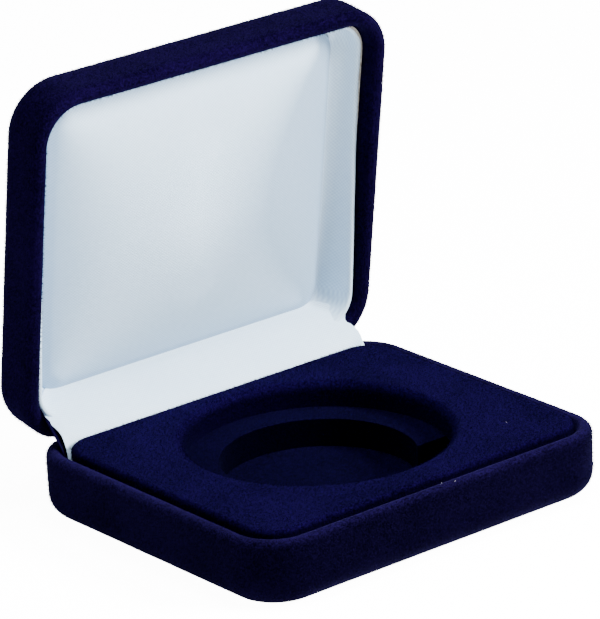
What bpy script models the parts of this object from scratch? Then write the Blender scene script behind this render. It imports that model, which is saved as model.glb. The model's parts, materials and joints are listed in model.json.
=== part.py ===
"""Hinged velvet coin box: two pressed shells covered in velvet, a stepped flocked
insert that holds a coin capsule, and a padded satin lining in the lid.

Frame: metres, +Z up, +X along the hinge, +Y towards the hinge.
Origin: centre of the base's underside. The lid stands open on its stop.
"""

import math

import bmesh
import bpy
from mathutils import Matrix, Vector

MM = 0.001

# Overall sizes
BOX_WIDTH = 78.0 * MM
BOX_DEPTH = 66.8 * MM
CORNER_RADIUS = 9.5 * MM
BASE_HEIGHT = 12.15 * MM
LID_HEIGHT = 10.4 * MM
BASE_EDGE_RADIUS = 4.2 * MM
LID_EDGE_RADIUS = 3.5 * MM
OPEN_ANGLE = math.radians(81.1)

# Materials' thicknesses and the clearances between pieces
VELVET = 0.85 * MM
STEEL = 0.6 * MM
SEAT = 0.3 * MM
PARTING_GAP = 0.4 * MM
RIM = 2 * VELVET + 2 * SEAT + STEEL
TURN_IN = 5.0 * MM

# Insert and its stepped recess
INSERT_PROUD = 0.8 * MM
INSERT_SIDE_GAP = 0.35 * MM
INSERT_CORNER_RADIUS = 6.0 * MM
INSERT_SOFT_EDGE = 0.9 * MM
CAPSULE_RADIUS = 23.0 * MM
CAPSULE_CLEARANCE = 0.3 * MM
CAPSULE_SEAT_DEPTH = 4.65 * MM
SMALL_CAPSULE_RADIUS = 17.1 * MM
LOCATING_STEP = 0.4 * MM
LOCATING_EASE = 0.3 * MM
RECESS_CENTRE_Y = 0.2 * MM
RELIEF_EDGE_FROM_CENTRE = 8.9 * MM
FLOOR_BOARD = 1.05 * MM
HINGE_BAY = 2.6 * MM

# Hinge
HINGE_INSET = 1.25 * MM
LEAF = 0.3 * MM
LEAF_WIDTH = 44.0 * MM
PIN_RADIUS = 0.35 * MM
PIN_CLEARANCE = 0.08 * MM
PIN_OVERHANG = 0.3 * MM
KNUCKLE_GAP = 0.3 * MM
KNUCKLES_A_SIDE = 3
NECK_DROP = 1.15 * MM
CURL_SWEEP = math.radians(278.0)
SPRING_WIDTH = 8.0 * MM
SPRING_BEND = 2.5 * MM
LEAF_FOOT = 0.4 * MM
DIP_TURN = 30.0
DIP_START = 0.5
DIP_REACH = 0.3
RIVET_RADIUS = 0.4 * MM
RIVET_HEAD_RADIUS = 0.9 * MM
RIVET_HEAD = 0.4 * MM
RIVET_CROWN = 0.7
RIVET_FROM_END = 1.3 * MM
RIVET_SPACING = 26.0 * MM

# Lid lining
PAD_BOARD = 0.6 * MM
PAD_SIDE_INSET = 7.4 * MM
PAD_CORNER_RADIUS = 4.0 * MM
PAD_EDGE_RISE = 0.5 * MM
PAD_CROWN = 2.6 * MM
SATIN = 0.3 * MM
COLLAR_CARD = 0.5 * MM
COLLAR_SETBACK = 3.4 * MM
FLAP = 0.35 * MM
FLAP_END_GAP = 3.2 * MM
FLAP_TAIL = 5.0 * MM

# Roundness
CORNER_STEPS = 8
CIRCLE_STEPS = 64
ARC_STEPS = 5
SMALL_ROUND_STEPS = 16
CURL_STEPS = 16
CROWN_STEPS = 6
SOFT_EDGE_STEPS = 2
RIM_STEPS = 8
SHARP_ANGLE = math.radians(35)
INSERT_SHARP_ANGLE = math.radians(60)

# Places worked out from the sizes above
HINGE_Y = BOX_DEPTH / 2 - HINGE_INSET
HINGE_Z = BASE_HEIGHT + PARTING_GAP / 2
KNUCKLE_RADIUS = PIN_RADIUS + PIN_CLEARANCE + LEAF
HINGE_RELIEF = BASE_HEIGHT - (HINGE_Z - KNUCKLE_RADIUS - SEAT)
TRAY_FLOOR = VELVET + SEAT + STEEL + SEAT
FLOOR_TOP = TRAY_FLOOR + FLOOR_BOARD
INSERT_TOP = BASE_HEIGHT + INSERT_PROUD
LEDGE_TOP = INSERT_TOP - CAPSULE_SEAT_DEPTH
LOWER_BLOCK_TOP = LEDGE_TOP - LOCATING_STEP
BOARD_TOP = FLOOR_TOP - LOCATING_STEP
UPPER_RADIUS = CAPSULE_RADIUS + CAPSULE_CLEARANCE
LOWER_RADIUS = SMALL_CAPSULE_RADIUS + CAPSULE_CLEARANCE
LEAF_Y = BOX_DEPTH / 2 - RIM - SEAT - LEAF / 2
BOARD_TOP_V = LID_HEIGHT - TRAY_FLOOR
BOARD_V = BOARD_TOP_V - PAD_BOARD
LEAF_FROM_AXIS = HINGE_Y - LEAF_Y
FLAP_FROM_AXIS = LEAF_FROM_AXIS + LEAF / 2 + SEAT + RIVET_HEAD + SEAT + FLAP / 2
FLAP_END_V = BOARD_V + PARTING_GAP / 2 - SEAT - FLAP
PAD_HINGE_INSET = HINGE_INSET + FLAP_FROM_AXIS + FLAP / 2 + SEAT + SATIN + SEAT


# Outlines -------------------------------------------------------------------

def rounded_rectangle(x0, x1, y0, y1, radius, steps=CORNER_STEPS):
    """Corner points of a rounded rectangle, counter-clockwise from +X."""
    points = []
    corners = ((x1, y1, 0), (x0, y1, 90), (x0, y0, 180), (x1, y0, 270))
    for x, y, start in corners:
        centre_x = x - math.copysign(radius, x - (x0 + x1) / 2)
        centre_y = y - math.copysign(radius, y - (y0 + y1) / 2)
        for step in range(steps + 1):
            angle = math.radians(start + 90 * step / steps)
            points.append((centre_x + radius * math.cos(angle), centre_y + radius * math.sin(angle)))
    return points


def box_outline(inset):
    """The box's plan outline, moved inwards."""
    half_x = BOX_WIDTH / 2 - inset
    half_y = BOX_DEPTH / 2 - inset
    return rounded_rectangle(-half_x, half_x, -half_y, half_y, CORNER_RADIUS - inset)


def circle(radius, centre_y, steps=CIRCLE_STEPS):
    """Points of a circle centred on the Y axis, counter-clockwise."""
    turn = [2 * math.pi * step / steps for step in range(steps)]
    return [(radius * math.cos(a), centre_y + radius * math.sin(a)) for a in turn]


def arc(centre, radius, start, end, steps=ARC_STEPS):
    """Points of an arc in a profile; angles in degrees."""
    points = []
    for step in range(steps + 1):
        angle = math.radians(start + (end - start) * step / steps)
        points.append((centre[0] + radius * math.cos(angle), centre[1] + radius * math.sin(angle)))
    return points


# Building closed meshes -------------------------------------------------------

def finish_mesh(name, bm, material, parent=None, frame=None):
    """Close the bmesh into a named object on the scene, smooth with sharp edges kept."""
    bmesh.ops.remove_doubles(bm, verts=bm.verts, dist=1e-7)
    if frame is not None:
        bmesh.ops.transform(bm, matrix=frame, verts=bm.verts)
    bmesh.ops.recalc_face_normals(bm, faces=bm.faces)
    mesh = bpy.data.meshes.new(name)
    bm.to_mesh(mesh)
    bm.free()
    mesh.shade_smooth()
    mesh.set_sharp_from_angle(angle=SHARP_ANGLE)
    mesh.materials.append(material)
    obj = bpy.data.objects.new(name, mesh)
    bpy.context.collection.objects.link(obj)
    obj.parent = parent
    return obj


def loft(rings, cap_start=True, cap_end=True):
    """A bmesh through rings of points, each ring with the same number of points."""
    bm = bmesh.new()
    rows = [[bm.verts.new(point) for point in ring] for ring in rings]
    count = len(rows[0])
    for low, high in zip(rows, rows[1:]):
        for i in range(count):
            j = (i + 1) % count
            bm.faces.new((low[i], low[j], high[j], high[i]))
    if cap_start:
        bm.faces.new(list(reversed(rows[0])))
    if cap_end:
        bm.faces.new(rows[-1])
    return bm


def plate_with_hole(outer, inner, low, high):
    """A flat plate between two outlines, with straight edges."""
    bm = bmesh.new()
    walls = []
    for outline in (outer, inner):
        walls.append([[bm.verts.new((x, y, z)) for x, y in outline] for z in (low, high)])
    for bottom, top in walls:
        for i in range(len(bottom)):
            j = (i + 1) % len(bottom)
            bm.faces.new((bottom[i], bottom[j], top[j], top[i]))
    for level in (0, 1):
        edges = []
        for wall in walls:
            ring = wall[level]
            edges += [bm.edges.get((ring[i], ring[(i + 1) % len(ring)])) for i in range(len(ring))]
        bmesh.ops.triangle_fill(bm, edges=edges, use_beauty=True, use_dissolve=False)
    return bm


def prism(profile, start, end, axis="X"):
    """A profile extruded straight; X takes (y, z) points, Y takes (x, z) points."""
    if axis == "X":
        rings = [[(x, a, b) for a, b in profile] for x in (start, end)]
    else:
        rings = [[(a, y, b) for a, b in profile] for y in (start, end)]
    return loft(rings)


def strip(path, thickness):
    """The closed outline of a bent strip whose middle line is the path."""
    left = []
    right = []
    for i, point in enumerate(path):
        before = Vector(path[max(i - 1, 0)])
        after = Vector(path[min(i + 1, len(path) - 1)])
        along = (after - before).normalized()
        across = Vector((-along.y, along.x)) * thickness / 2
        left.append((point[0] + across.x, point[1] + across.y))
        right.append((point[0] - across.x, point[1] - across.y))
    return left + list(reversed(right))


def boolean(obj, tool, operation):
    """Join or cut with a tool object, as a live modifier."""
    tool.hide_render = True
    tool.display_type = "WIRE"
    modifier = obj.modifiers.new(tool.name, "BOOLEAN")
    modifier.operation = operation
    modifier.object = tool
    modifier.solver = "EXACT"


def make_material(name, colour, roughness, metallic=0.0):
    material = bpy.data.materials.new(name)
    material.use_nodes = True
    shader = material.node_tree.nodes["Principled BSDF"]
    shader.inputs["Base Color"].default_value = (*colour, 1.0)
    shader.inputs["Roughness"].default_value = roughness
    shader.inputs["Metallic"].default_value = metallic
    return material


# Shells and their velvet --------------------------------------------------------

def hinge_dip(x, y, z, height):
    """How far the back rim is lowered so that the two shells clear each other."""
    straight_x = BOX_WIDTH / 2 - CORNER_RADIUS
    if y < BOX_DEPTH / 2 - CORNER_RADIUS:
        return 0.0
    turn = math.degrees(math.atan2(abs(x) - straight_x, y - (BOX_DEPTH / 2 - CORNER_RADIUS)))
    beside = min(max(1 - turn / DIP_TURN, 0.0), 1.0)
    near_rim = min(max((z / height - DIP_START) / DIP_REACH, 0.0), 1.0)
    return HINGE_RELIEF * beside * near_rim


def tray_rings(profile, height):
    rings = []
    for inset, z in profile:
        ring = [(x, y, z - hinge_dip(x, y, z, height)) for x, y in box_outline(inset)]
        rings.append(ring)
    return rings


def velvet_cover(name, height, edge, material, parent=None, frame=None):
    """Velvet over the outside of a shell, over its rim and turned in."""
    half = RIM / 2
    profile = arc((edge, edge), edge, 270, 180)
    profile += arc((half, height - half), half, 180, 0, RIM_STEPS)
    profile += [(RIM, height - TURN_IN), (RIM - VELVET, height - TURN_IN)]
    profile += arc((half, height - half), half - VELVET, 0, 180, RIM_STEPS)
    profile += arc((edge, edge), edge - VELVET, 180, 270)
    return finish_mesh(name, loft(tray_rings(profile, height)), material, parent, frame)


def pressed_shell(name, height, edge, material, parent=None, frame=None):
    """The pressed steel tray inside the velvet."""
    outside = VELVET + SEAT
    top = height - VELVET - SEAT
    profile = arc((edge, edge), edge - outside, 270, 180)
    profile += [(outside, top - STEEL / 2), (outside + STEEL / 4, top)]
    profile += [(outside + 3 * STEEL / 4, top), (outside + STEEL, top - STEEL / 2)]
    profile += arc((edge, edge), edge - outside - STEEL, 180, 270)
    return finish_mesh(name, loft(tray_rings(profile, height)), material, parent, frame)


# Insert ---------------------------------------------------------------------------

def insert_limits(extra=0.0):
    """The insert's sides: x0, x1, y0, y1."""
    half_x = BOX_WIDTH / 2 - RIM - INSERT_SIDE_GAP - extra
    front = -BOX_DEPTH / 2 + RIM + INSERT_SIDE_GAP + extra
    back = BOX_DEPTH / 2 - RIM - HINGE_BAY - extra
    return -half_x, half_x, front, back


def insert_outline(inset=0.0):
    return rounded_rectangle(*insert_limits(inset), INSERT_CORNER_RADIUS - inset)


def edge_turn(edge, radius):
    """Degrees round a circle at which it meets the relief's straight edge, on the right."""
    return math.degrees(math.asin(edge / radius))


def stepped_hole(inset=0.0):
    """The lower block's hole: a circle, opened at the front by the straight relief."""
    edge = -RELIEF_EDGE_FROM_CENTRE - inset
    inner = edge_turn(edge, LOWER_RADIUS - inset)
    outer = edge_turn(edge, UPPER_RADIUS - inset)
    centre = (0.0, RECESS_CENTRE_Y)
    points = arc(centre, LOWER_RADIUS - inset, inner, 180 - inner, CIRCLE_STEPS // 2)
    points += arc(centre, UPPER_RADIUS - inset, 180 - outer, 360 + outer, CIRCLE_STEPS // 3)
    return points


def ledge_outline(inset):
    """The part of the lower block that shows as a ledge, inside the capsule hole."""
    edge = -RELIEF_EDGE_FROM_CENTRE + inset
    inner = edge_turn(edge, LOWER_RADIUS + inset)
    outer = edge_turn(edge, UPPER_RADIUS - inset)
    centre = (0.0, RECESS_CENTRE_Y)
    points = arc(centre, UPPER_RADIUS - inset, outer, 180 - outer, CIRCLE_STEPS // 2)
    points += arc(centre, LOWER_RADIUS + inset, 180 - inner, inner, CIRCLE_STEPS // 2)
    return points


def insert_upper(material):
    """Top block: the round hole that the capsule drops into, with soft edges."""
    low = LOWER_BLOCK_TOP + SEAT
    bm = plate_with_hole(insert_outline(), circle(UPPER_RADIUS, RECESS_CENTRE_Y), low, INSERT_TOP)
    obj = finish_mesh("insert_upper", bm, material)
    bevel = obj.modifiers.new("soft_edges", "BEVEL")
    bevel.width = INSERT_SOFT_EDGE
    bevel.segments = SOFT_EDGE_STEPS
    bevel.limit_method = "ANGLE"
    bevel.angle_limit = INSERT_SHARP_ANGLE
    return obj


def flat_board(name, outline, low, high, material, parent=None, frame=None):
    rings = [[(x, y, z) for x, y in outline] for z in (low, high)]
    return finish_mesh(name, loft(rings), material, parent, frame)


def insert_lower(material):
    """Lower block; its ledge stands up as a step that locates the upper block."""
    bm = plate_with_hole(insert_outline(), stepped_hole(), BOARD_TOP + SEAT, LOWER_BLOCK_TOP)
    block = finish_mesh("insert_lower", bm, material)
    root = LOWER_BLOCK_TOP - LOCATING_STEP
    step = flat_board("ledge_step", ledge_outline(LOCATING_EASE), root, LEDGE_TOP, material)
    boolean(block, step, "UNION")


def recess_floor(material):
    """Board under both blocks; its middle stands up as a step that locates the lower one."""
    board = flat_board("recess_floor", insert_outline(), TRAY_FLOOR, BOARD_TOP, material)
    root = BOARD_TOP - LOCATING_STEP
    step = flat_board("floor_step", stepped_hole(LOCATING_EASE), root, FLOOR_TOP, material)
    boolean(board, step, "UNION")


# Hinge --------------------------------------------------------------------------------

def knuckle_spans():
    """X ranges of the knuckles on the +X side, from the spring outwards."""
    start = SPRING_WIDTH / 2 + 2 * KNUCKLE_GAP
    pitch = (LEAF_WIDTH / 2 - start + KNUCKLE_GAP) / KNUCKLES_A_SIDE
    return [(start + i * pitch, start + (i + 1) * pitch - KNUCKLE_GAP) for i in range(KNUCKLES_A_SIDE)]


def knuckle_profile():
    """A strip that leaves the leaf and curls round the pin; points relative to the axis."""
    radius = PIN_RADIUS + PIN_CLEARANCE + LEAF / 2
    foot = Vector((LEAF_Y - HINGE_Y, -NECK_DROP))
    lean = math.atan2(-foot.y, -foot.x) + math.asin(radius / foot.length)
    first = lean + math.pi / 2
    turns = [first - CURL_SWEEP * step / CURL_STEPS for step in range(CURL_STEPS + 1)]
    path = [(foot.x, foot.y - 2 * LEAF), tuple(foot)]
    path += [(radius * math.cos(a), radius * math.sin(a)) for a in turns]
    return strip(path, LEAF)


def hinge_leaf(name, reach, spans, material, parent, up):
    """A notched plate with curled knuckles; up is +1 for the base, -1 for the lid.

    Its own origin is on the hinge axis, with the plate reaching away from the rim."""
    half = LEAF_WIDTH / 2
    notch = SPRING_WIDTH / 2 + KNUCKLE_GAP
    notch_end = -reach + RIVET_FROM_END
    plate = [(-half, -reach), (half, -reach), (half, -NECK_DROP), (notch, -NECK_DROP)]
    plate += [(notch, notch_end), (-notch, notch_end), (-notch, -NECK_DROP), (-half, -NECK_DROP)]
    plate = [(x, z * up) for x, z in plate]
    middle = LEAF_Y - HINGE_Y
    bm = prism(plate, middle - LEAF / 2, middle + LEAF / 2, "Y")
    leaf = finish_mesh(name, bm, material, parent)
    curl = [(y, z * up) for y, z in knuckle_profile()]
    for number, (start, end) in enumerate(spans):
        tool = finish_mesh(f"{name}_knuckle_{number}", prism(curl, start, end), material, parent)
        boolean(leaf, tool, "UNION")
    return leaf


def rivet(x, head_y, tail_y, z):
    """Turned profile of a rivet along Y."""
    outline = [(RIVET_HEAD_RADIUS * RIVET_CROWN, head_y), (RIVET_HEAD_RADIUS, head_y + RIVET_HEAD / 2)]
    outline += [(RIVET_HEAD_RADIUS, head_y + RIVET_HEAD), (RIVET_RADIUS, head_y + RIVET_HEAD)]
    outline += [(RIVET_RADIUS, tail_y)]
    rings = []
    for radius, y in outline:
        turn = [2 * math.pi * step / SMALL_ROUND_STEPS for step in range(SMALL_ROUND_STEPS)]
        rings.append([(x + radius * math.cos(a), y, z + radius * math.sin(a)) for a in turn])
    return loft(rings)


def rivets(name, z, material, parent):
    """Two rivets through a leaf and its shell's back wall; y is relative to the axis."""
    head_y = LEAF_Y - HINGE_Y - LEAF / 2 - SEAT - RIVET_HEAD
    tail_y = BOX_DEPTH / 2 - VELVET - SEAT - HINGE_Y
    for side, x in (("left", -RIVET_SPACING / 2), ("right", RIVET_SPACING / 2)):
        finish_mesh(f"{name}_{side}", rivet(x, head_y, tail_y, z), material, parent)


def rivet_holes(name, z, pieces, material, parent):
    """Clearance holes for the rivets in the leaf and in the steel."""
    for x in (-RIVET_SPACING / 2, RIVET_SPACING / 2):
        turn = [2 * math.pi * step / SMALL_ROUND_STEPS for step in range(SMALL_ROUND_STEPS)]
        radius = RIVET_RADIUS + SEAT
        profile = [(x + radius * math.cos(a), z + radius * math.sin(a)) for a in turn]
        start = LEAF_Y - HINGE_Y - LEAF
        end = BOX_DEPTH / 2 - VELVET - SEAT / 2 - HINGE_Y
        side = "left" if x < 0 else "right"
        tool = finish_mesh(f"{name}_{side}", prism(profile, start, end, "Y"), material, parent)
        for piece in pieces:
            boolean(piece, tool, "DIFFERENCE")


def hinge_pin(material, parent):
    half = LEAF_WIDTH / 2 + PIN_OVERHANG
    turn = [2 * math.pi * step / SMALL_ROUND_STEPS for step in range(SMALL_ROUND_STEPS)]
    profile = [(PIN_RADIUS * math.cos(a), PIN_RADIUS * math.sin(a)) for a in turn]
    return finish_mesh("hinge_pin", prism(profile, -half, half), material, parent)


def hinge_spring(base_reach, lid_reach, material, parent):
    """Bowed flat spring between the two leaves, in the open lid's shape."""
    middle = LEAF_Y - HINGE_Y
    lean = math.pi / 2 - OPEN_ANGLE
    low_end = -base_reach + RIVET_FROM_END + SEAT
    along = Vector((math.cos(lean), math.sin(lean)))
    # a bend that touches both leaves' planes
    centre_y = middle + SPRING_BEND
    # the lid leaf's middle plane is sin(lean) * y - cos(lean) * z = middle
    centre_z = (math.sin(lean) * centre_y - middle - SPRING_BEND) / math.cos(lean)
    path = [(middle, low_end), (middle, (low_end + centre_z) / 2)]
    sweep = OPEN_ANGLE
    for step in range(ARC_STEPS + 1):
        angle = math.pi - sweep * step / ARC_STEPS
        path.append((centre_y + SPRING_BEND * math.cos(angle), centre_z + SPRING_BEND * math.sin(angle)))
    last = Vector(path[-1])
    far = lid_reach - RIVET_FROM_END - SEAT - last.dot(along)
    path.append(tuple(last + along * far))
    outline = strip(path, LEAF)
    return finish_mesh("hinge_spring", prism(outline, -SPRING_WIDTH / 2, SPRING_WIDTH / 2), material, parent)


# Lid lining (lid frame: x, y from the hinge axis, z = depth into the lid when closed) ---

def lid_rectangle(side_inset, hinge_inset, radius):
    """A rounded rectangle inside the lid, in the closed lid's plan."""
    half_x = BOX_WIDTH / 2 - side_inset
    front = -BOX_DEPTH / 2 + side_inset
    back = BOX_DEPTH / 2 - hinge_inset
    return rounded_rectangle(-half_x, half_x, front, back, radius)


def crowned_rings(side_inset, hinge_inset, radius, edge_v, crown):
    """Rings that rise from the pad's edge to its crown along a quarter of a sine."""
    outline = lid_rectangle(side_inset, hinge_inset, radius)
    centre_y = (outline[0][1] + outline[-1][1]) / 2
    rings = []
    for level in range(CROWN_STEPS):
        share = level / CROWN_STEPS
        shrink = 1 - share
        v = edge_v - crown * math.sin(share * math.pi / 2)
        rings.append([(x * shrink, centre_y + (y - centre_y) * shrink, v) for x, y in outline])
    return rings


def lid_pad(name, low_v, edge_v, crown, material, parent, frame):
    """A crowned solid between its flat back and its puffed face."""
    outline = lid_rectangle(PAD_SIDE_INSET, PAD_HINGE_INSET, PAD_CORNER_RADIUS)
    rings = [[(x, y, low_v) for x, y in outline]]
    rings += crowned_rings(PAD_SIDE_INSET, PAD_HINGE_INSET, PAD_CORNER_RADIUS, edge_v, crown)
    return finish_mesh(name, loft(rings), material, parent, frame)


def lid_lining(edge_v, crown, material, parent, frame):
    """The satin skin over the wadding, turned down round its edge."""
    face = crowned_rings(PAD_SIDE_INSET - SATIN - SEAT, PAD_HINGE_INSET - SATIN - SEAT,
                         PAD_CORNER_RADIUS + SATIN + SEAT, edge_v - SATIN - SEAT, crown)
    back = crowned_rings(PAD_SIDE_INSET - SEAT, PAD_HINGE_INSET - SEAT,
                         PAD_CORNER_RADIUS + SEAT, edge_v - SEAT, crown)
    skirt_v = BOARD_V - SEAT
    outer = [(x, y, skirt_v) for x, y, _ in face[0]]
    inner = [(x, y, skirt_v) for x, y, _ in back[0]]
    rings = list(reversed(back)) + [inner, outer] + face
    return finish_mesh("lid_lining", loft(rings), material, parent, frame)


def collar(name, section, material, parent, frame):
    """A strip bent round three sides of the lid; section holds (inset, v) points."""
    stations = []
    half_x = BOX_WIDTH / 2
    half_y = BOX_DEPTH / 2
    end_y = half_y - CORNER_RADIUS
    stations.append(((half_x, end_y), (-1.0, 0.0)))
    for x, start in ((half_x, 0), (-half_x, -90)):
        for step in range(CORNER_STEPS + 1):
            angle = math.radians(start - 90 * step / CORNER_STEPS)
            out = (math.cos(angle), math.sin(angle))
            centre_x = x - math.copysign(CORNER_RADIUS, x)
            centre_y = -half_y + CORNER_RADIUS
            point = (centre_x + CORNER_RADIUS * out[0], centre_y + CORNER_RADIUS * out[1])
            stations.append((point, (-out[0], -out[1])))
    stations.append(((-half_x, end_y), (1.0, 0.0)))
    rings = []
    for (x, y), inward in stations:
        rings.append([(x + inward[0] * inset, y + inward[1] * inset, v) for inset, v in section])
    return finish_mesh(name, loft(rings), material, parent, frame)


def open_lid_point(from_axis, depth):
    """(y, z) of a place in the open lid: away from the axis along the lid, and into it."""
    cos, sin = math.cos(OPEN_ANGLE), math.sin(OPEN_ANGLE)
    return HINGE_Y - cos * from_axis + sin * depth, HINGE_Z + sin * from_axis + cos * depth


def hinge_flap(material):
    """Satin strip from the lining's lower edge, over the hinge and down behind the insert."""
    tail_y = insert_limits()[3] + SEAT + FLAP / 2 + SEAT
    shoulder = INSERT_TOP + SEAT
    path = [(tail_y, INSERT_TOP - FLAP_TAIL), (tail_y, shoulder - 3 * FLAP)]
    path += [(tail_y + FLAP, shoulder), (tail_y + 4 * FLAP, shoulder + 2 * FLAP)]
    path += [open_lid_point(FLAP_FROM_AXIS, SPRING_BEND / 2), open_lid_point(FLAP_FROM_AXIS, FLAP_END_V)]
    half = BOX_WIDTH / 2 - RIM - FLAP_END_GAP
    return finish_mesh("hinge_flap", prism(strip(path, FLAP), -half, half), material)


# Assembly --------------------------------------------------------------------------------

def clear_scene():
    for obj in list(bpy.data.objects):
        bpy.data.objects.remove(obj)


def main():
    clear_scene()
    velvet = make_material("navy_velvet", (0.010, 0.014, 0.060), 0.9)
    flock = make_material("navy_flock", (0.012, 0.017, 0.080), 0.95)
    satin = make_material("white_satin", (0.78, 0.82, 0.87), 0.45)
    steel = make_material("pressed_steel", (0.55, 0.55, 0.56), 0.4, 1.0)
    spring_steel = make_material("spring_steel", (0.35, 0.36, 0.40), 0.3, 1.0)
    card = make_material("grey_card", (0.45, 0.43, 0.40), 0.9)
    wadding = make_material("white_wadding", (0.85, 0.85, 0.83), 1.0)

    base_hinge = bpy.data.objects.new("base_hinge_axis", None)
    bpy.context.collection.objects.link(base_hinge)
    base_hinge.location = (0.0, HINGE_Y, HINGE_Z)
    lid_hinge = bpy.data.objects.new("lid_hinge_axis", None)
    bpy.context.collection.objects.link(lid_hinge)
    lid_hinge.location = (0.0, HINGE_Y, HINGE_Z)
    lid_hinge.rotation_euler = (-OPEN_ANGLE, 0.0, 0.0)

    # lid pieces are drawn rim plane down at z = 0 and depth upwards, then moved to the axis
    to_axis = Matrix.Translation((0.0, -HINGE_Y, PARTING_GAP / 2))
    # shells are drawn standing on their closed face, so the lid's is turned over first
    turned = to_axis @ Matrix.Translation((0.0, 0.0, LID_HEIGHT)) @ Matrix.Diagonal((1.0, 1.0, -1.0, 1.0))

    base_reach = HINGE_Z - FLOOR_TOP - LEAF_FOOT
    lid_reach = BOARD_V + PARTING_GAP / 2 - SEAT
    spans = knuckle_spans()
    mirrored = [(-end, -start) for start, end in spans]

    velvet_cover("base_velvet", BASE_HEIGHT, BASE_EDGE_RADIUS, velvet)
    base_shell = pressed_shell("base_shell", BASE_HEIGHT, BASE_EDGE_RADIUS, steel)
    recess_floor(flock)
    insert_lower(flock)
    insert_upper(flock)
    base_leaf = hinge_leaf("hinge_leaf_base", base_reach, (spans[0], spans[2], mirrored[0], mirrored[2]),
                           steel, base_hinge, 1)
    base_rivet_z = -base_reach + RIVET_FROM_END
    rivets("base_rivet", base_rivet_z, steel, base_hinge)
    rivet_holes("base_rivet_hole", base_rivet_z, (base_leaf, base_shell), steel, base_hinge)
    hinge_pin(spring_steel, base_hinge)
    hinge_spring(base_reach, lid_reach, spring_steel, base_hinge)
    hinge_flap(satin)

    velvet_cover("lid_velvet", LID_HEIGHT, LID_EDGE_RADIUS, velvet, lid_hinge, turned)
    lid_shell = pressed_shell("lid_shell", LID_HEIGHT, LID_EDGE_RADIUS, steel, lid_hinge, turned)
    board = lid_rectangle(RIM + 2 * SEAT, RIM + 3 * SEAT + LEAF, CORNER_RADIUS - RIM)
    flat_board("lid_pad_board", board, BOARD_V, BOARD_TOP_V, card, lid_hinge, to_axis)
    pad_edge_v = BOARD_V - SEAT - PAD_EDGE_RISE
    lid_pad("lid_wadding", BOARD_V - SEAT, pad_edge_v, PAD_CROWN, wadding, lid_hinge, to_axis)
    lid_lining(pad_edge_v, PAD_CROWN, satin, lid_hinge, to_axis)
    card_in = RIM + SEAT
    foot_v = BOARD_V - SEAT
    section = [(card_in, COLLAR_SETBACK), (card_in + COLLAR_CARD, COLLAR_SETBACK)]
    section += [(card_in + COLLAR_CARD, foot_v), (card_in, foot_v)]
    collar("lid_collar_card", section, card, lid_hinge, to_axis)
    satin_in = card_in + COLLAR_CARD + SEAT
    satin_foot = PAD_SIDE_INSET - SATIN - 2 * SEAT
    section = [(satin_in, COLLAR_SETBACK), (satin_in + SATIN, COLLAR_SETBACK)]
    section += [(satin_in + 2 * SATIN, (COLLAR_SETBACK + foot_v) / 2)]
    section += [(satin_foot, foot_v), (satin_in, foot_v)]
    collar("lid_collar_satin", section, satin, lid_hinge, to_axis)
    lid_leaf = hinge_leaf("hinge_leaf_lid", lid_reach, (spans[1], mirrored[1]), steel, lid_hinge, -1)
    lid_rivet_z = lid_reach - RIVET_FROM_END
    rivets("lid_rivet", lid_rivet_z, steel, lid_hinge)
    rivet_holes("lid_rivet_hole", lid_rivet_z, (lid_leaf, lid_shell), steel, lid_hinge)


main()
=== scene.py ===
"""Hinged velvet coin box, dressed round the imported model.

Velvet covers over the two shells, a flocked insert, a puffed satin pad in the
lid with its side wall, and the satin strip that hides the hinge.
"""

import json
import math

import bmesh
import bpy
from mathutils import Matrix, Vector, noise


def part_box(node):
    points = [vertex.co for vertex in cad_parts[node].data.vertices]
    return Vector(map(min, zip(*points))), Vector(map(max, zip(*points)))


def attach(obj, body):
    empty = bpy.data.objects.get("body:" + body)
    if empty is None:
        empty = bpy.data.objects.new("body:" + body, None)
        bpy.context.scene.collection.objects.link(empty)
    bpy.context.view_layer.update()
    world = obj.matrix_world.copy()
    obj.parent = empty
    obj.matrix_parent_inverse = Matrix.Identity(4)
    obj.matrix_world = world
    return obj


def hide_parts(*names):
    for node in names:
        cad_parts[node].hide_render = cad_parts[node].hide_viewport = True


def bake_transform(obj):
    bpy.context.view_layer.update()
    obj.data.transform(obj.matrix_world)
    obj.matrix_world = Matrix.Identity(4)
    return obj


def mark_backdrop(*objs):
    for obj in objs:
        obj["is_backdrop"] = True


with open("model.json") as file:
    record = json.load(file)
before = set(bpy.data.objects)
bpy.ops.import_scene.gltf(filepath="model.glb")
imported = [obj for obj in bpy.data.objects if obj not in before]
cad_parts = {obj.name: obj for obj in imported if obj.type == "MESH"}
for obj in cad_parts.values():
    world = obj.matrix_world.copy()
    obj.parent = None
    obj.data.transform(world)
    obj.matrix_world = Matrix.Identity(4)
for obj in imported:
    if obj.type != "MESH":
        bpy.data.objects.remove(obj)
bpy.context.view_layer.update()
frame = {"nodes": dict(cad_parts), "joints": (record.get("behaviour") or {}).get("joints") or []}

MM = 0.001

# The hinge and the shells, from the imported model
HINGE = frame["joints"][0]
AXIS_Y = HINGE["pos_m"][1]
AXIS_Z = HINGE["pos_m"][2]
OPEN_ANGLE = math.radians(HINGE["range_deg"][1])
_, BASE_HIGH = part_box("base_velvet")
INSERT_LOW, INSERT_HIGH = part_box("insert_upper")
LEDGE_LOW, LEDGE_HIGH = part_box("insert_lower")
FLOOR_LOW, FLOOR_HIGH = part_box("recess_floor")
HALF_WIDTH = BASE_HIGH.x
HALF_DEPTH = BASE_HIGH.y
BASE_HEIGHT = BASE_HIGH.z

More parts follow.
